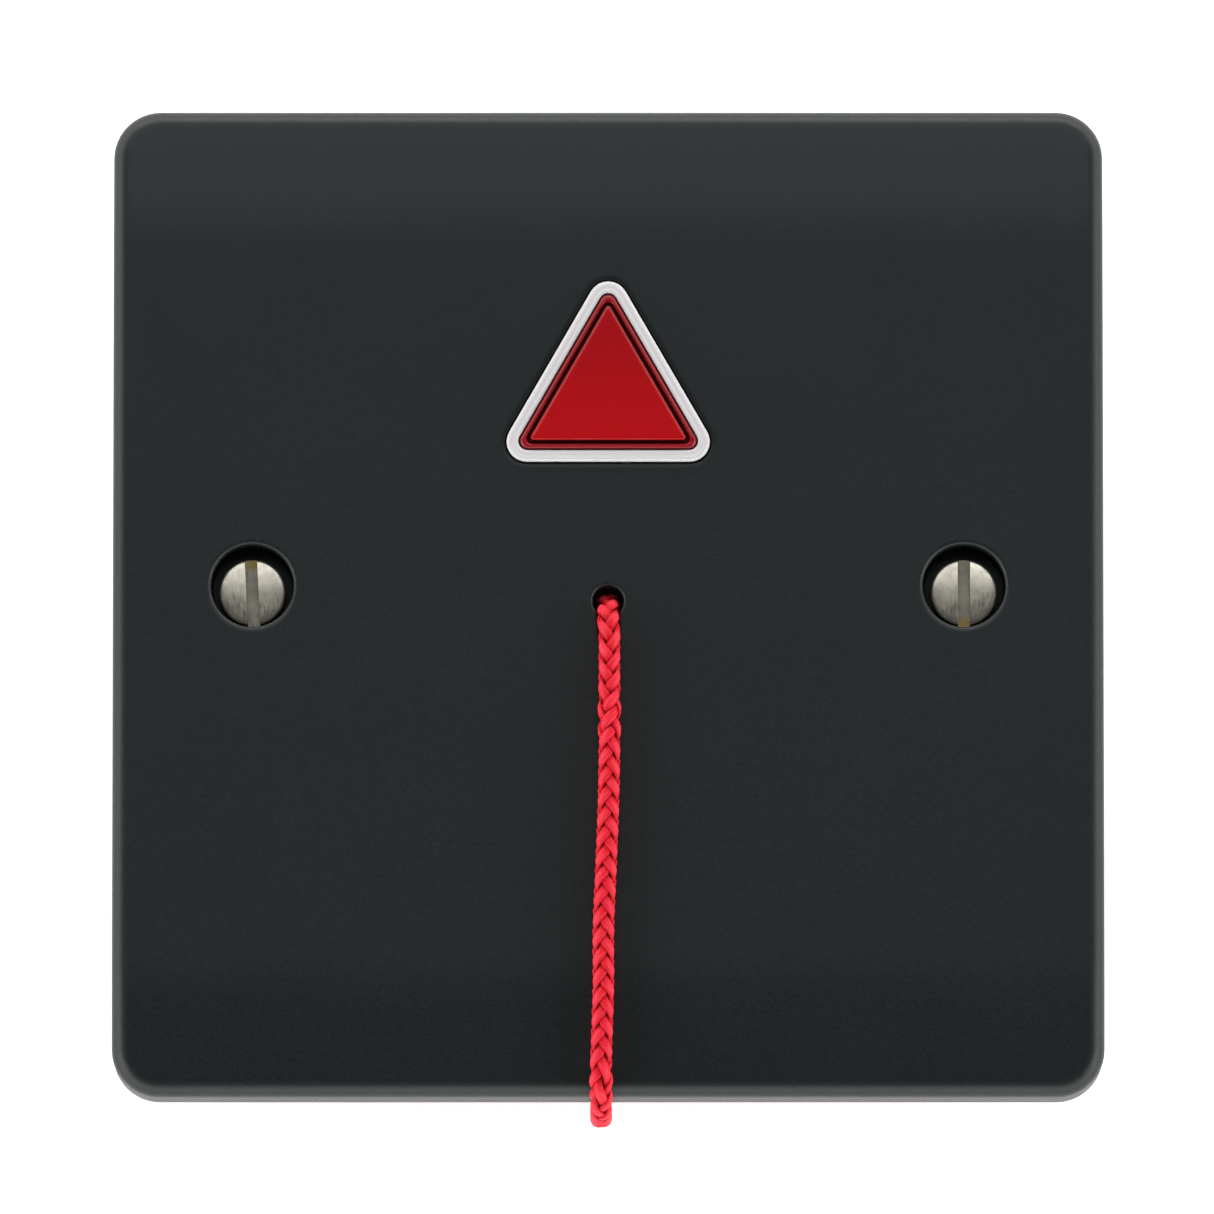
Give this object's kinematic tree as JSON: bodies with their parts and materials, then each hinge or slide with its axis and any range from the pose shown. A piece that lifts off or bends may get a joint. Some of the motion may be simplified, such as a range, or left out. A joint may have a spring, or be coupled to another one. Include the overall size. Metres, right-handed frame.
{
  "type": "pull cord switch",
  "caption": "Single-gang wall plate with a red triangular reassurance lamp and a braided red pull cord that works a sprung snap switch behind it.",
  "frame": {"origin": "centre of the plate's outline, on the back of the rear cover", "axes": "+Z out of the face, +Y up as it hangs on a wall, +X to the right seen from the front"},
  "size_m": [0.084, 0.0861, 0.032],
  "materials": {
    "plate_moulding": "satin, fine spark-eroded texture",
    "nickel_plate": "satin nickel plate",
    "steel": "bright zinc plate",
    "bezel_white": "semi-gloss",
    "lens_red": "polished, translucent",
    "white_moulding": "satin",
    "natural_nylon": "satin",
    "led_epoxy": "gloss",
    "board_laminate": "satin solder resist",
    "resistor_coat": "lacquer",
    "black_epoxy": "moulded",
    "capacitor_sleeve": "shrunk sleeve",
    "tinned_copper": "tinned",
    "terminal_grey": "satin",
    "brass": "bright",
    "switch_black": "satin",
    "switch_grey": "satin",
    "plunger_red": "satin",
    "spring_steel": "drawn wire",
    "cord_red": "braided polyester",
    "pull_red": "polished",
    "tie_white": "satin"
  },
  "bodies": {
    "base": {"front_plate": "plate_moulding", "cord_guide": "natural_nylon", "fixing_screws": "nickel_plate", "screw_retainers": "natural_nylon", "indicator_bezel": "bezel_white", "indicator_lens": "lens_red", "light_box": "white_moulding", "leds": "led_epoxy", "circuit_board": "board_laminate", "board_screws": "steel", "resistors": "resistor_coat", "diodes": "black_epoxy", "capacitor": "capacitor_sleeve", "component_leads": "tinned_copper", "terminal_block": "terminal_grey", "terminal_clamps": "brass", "terminal_screws": "steel", "terminal_pins": "tinned_copper", "switch_case": "switch_black", "switch_side_cover": "switch_grey", "switch_pins": "tinned_copper", "lever_pin": "steel", "return_spring": "spring_steel", "rear_cover": "white_moulding", "cover_screws": "steel", "cord_core": "cord_red", "pull_cord": "cord_red", "cord_coil": "cord_red", "coil_tie": "tie_white", "cord_tail": "cord_red", "cord_pull": "pull_red", "end_knot": "cord_red"},
    "pull": {"pull_slider": "natural_nylon", "inner_knot": "cord_red"},
    "lever": {"switch_lever": "steel"},
    "plunger": {"switch_plunger": "plunger_red"}
  },
  "joints": [
    {"name": "cord_pull_slide", "type": "slide", "parent": "base", "child": "pull", "axis": [0, 0, 1], "range_m": [0, 0.004], "stiffness_N_per_m": 1200, "springref_m": -0.004, "deforming": ["return_spring", "cord_core"]},
    {"name": "lever_hinge", "type": "hinge", "parent": "base", "child": "lever", "pos_m": [0, 0.0204, 0.0094], "axis": [-1, 0, 0], "range_deg": [0, 16.6]},
    {"name": "plunger_slide", "type": "slide", "parent": "base", "child": "plunger", "axis": [0, 0, 1], "range_m": [0, 0.001]}
  ],
  "couplings": [
    {"joint": "lever_hinge", "follows": "cord_pull_slide", "rad_per_m": 72.439},
    {"joint": "plunger_slide", "follows": "cord_pull_slide", "ratio": 0.25}
  ]
}
